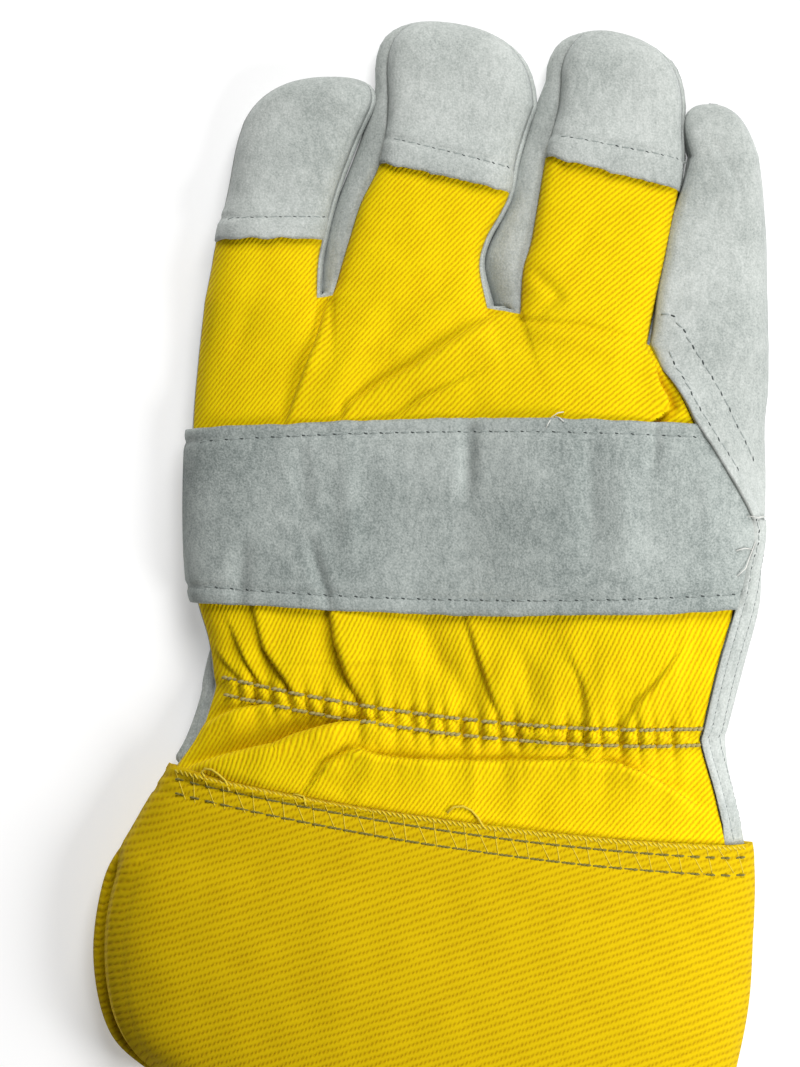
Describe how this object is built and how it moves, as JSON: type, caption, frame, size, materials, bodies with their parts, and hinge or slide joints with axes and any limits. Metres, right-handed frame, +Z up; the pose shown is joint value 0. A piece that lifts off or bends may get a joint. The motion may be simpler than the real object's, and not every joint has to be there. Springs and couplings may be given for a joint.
{
  "type": "leather work glove",
  "caption": "Left-hand work glove: grey split-leather palm, fingertips and knuckle strap, yellow cotton back and flared canvas cuff, lying back up.",
  "frame": {"origin": "centre of the bounding box at its bottom, on the surface that the glove lies on", "axes": "+X to the thumb side, +Y to the fingertips, +Z up out of the back of the hand"},
  "size_m": [0.1626, 0.275, 0.0291],
  "materials": {
    "split_leather": "suede",
    "strap_leather": "suede",
    "cotton_twill": "woven twill",
    "cuff_canvas": "woven canvas"
  },
  "bodies": {
    "root": {"palm_leather": "split_leather", "back_cloth": "cotton_twill", "little_fingertip": "split_leather", "ring_fingertip": "split_leather", "middle_fingertip": "split_leather", "index_back": "split_leather", "knuckle_strap": "strap_leather", "side_strip_little_ring": "split_leather", "side_strip_ring_middle": "split_leather", "side_strip_middle_index": "split_leather", "side_binding": "split_leather", "cuff": "cuff_canvas", "thumb": "split_leather"}
  },
  "joints": []
}
